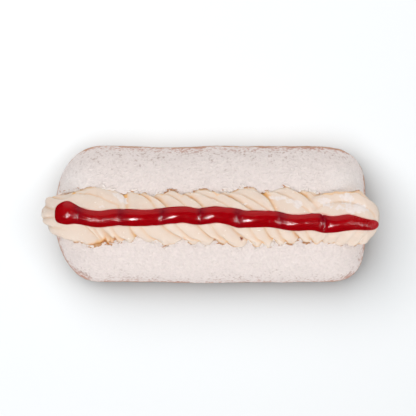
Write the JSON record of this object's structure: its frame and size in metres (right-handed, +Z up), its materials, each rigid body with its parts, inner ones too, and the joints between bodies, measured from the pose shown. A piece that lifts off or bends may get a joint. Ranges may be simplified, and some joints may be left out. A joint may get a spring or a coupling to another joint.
{
  "type": "cream finger bun",
  "caption": "Soft oblong bun split open along its top and dusted with icing sugar, filled with a twisted rope of piped cream that runs out at both ends, with a line of red jam on the crest.",
  "frame": {"origin": "middle of the flat foot of the bun, under the centre of the whole part's box", "axes": "+X along the bun towards the end where the jam hangs over, +Y across it, +Z up"},
  "size_m": [0.176, 0.0715, 0.0532],
  "materials": {
    "bun": "soft golden-brown crust under a matt coat of icing sugar",
    "cream": "smooth pale yellow cream with a soft satin sheen",
    "jam": "wet, glossy deep red jam"
  },
  "bodies": {
    "root": {"bun": "bun", "cream": "cream", "jam": "jam"}
  },
  "joints": []
}
